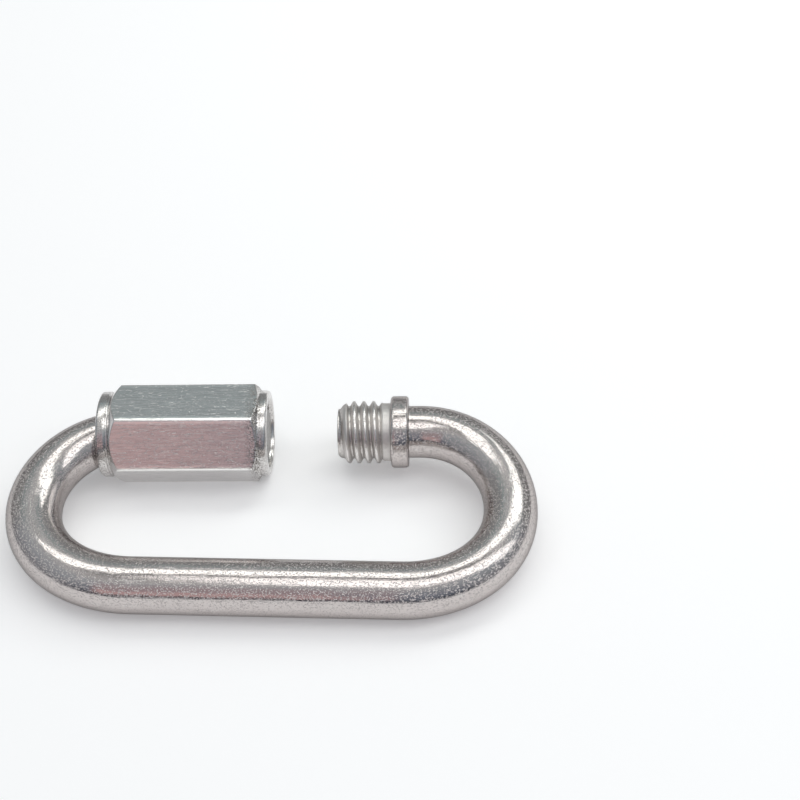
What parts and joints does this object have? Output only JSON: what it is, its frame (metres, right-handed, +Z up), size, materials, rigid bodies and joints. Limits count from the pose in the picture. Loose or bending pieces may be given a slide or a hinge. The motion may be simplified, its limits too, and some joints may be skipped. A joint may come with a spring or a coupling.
{
  "type": "chain quick link",
  "caption": "Open chain quick link: an oval of round steel bar with threaded ends that face across a gap, and a long hexagonal sleeve nut that screws over to close it.",
  "frame": {"origin": "middle of the link's outline, on the surface that it lies on", "axes": "+X along the two arms, from the nut to the threaded stub; +Y from the back bar to the arms; +Z up. The loop's own plane leans 5.2 degrees about X, because the nut is thicker than the bar"},
  "size_m": [0.0762, 0.04, 0.0132],
  "materials": {
    "bright_bar": "bright steel bar with a fine grain, smooth but not mirror polished",
    "brushed_nut": "drawn hexagon bar: flats finely brushed along their length, ends turned"
  },
  "bodies": {
    "link": {"link_body": "bright_bar"},
    "nut": {"hex_nut": "brushed_nut"}
  },
  "joints": [
    {"name": "nut_travel", "type": "slide", "parent": "link", "child": "nut", "axis": [1, 0, 0], "range_m": [0, 0.0177]}
  ]
}
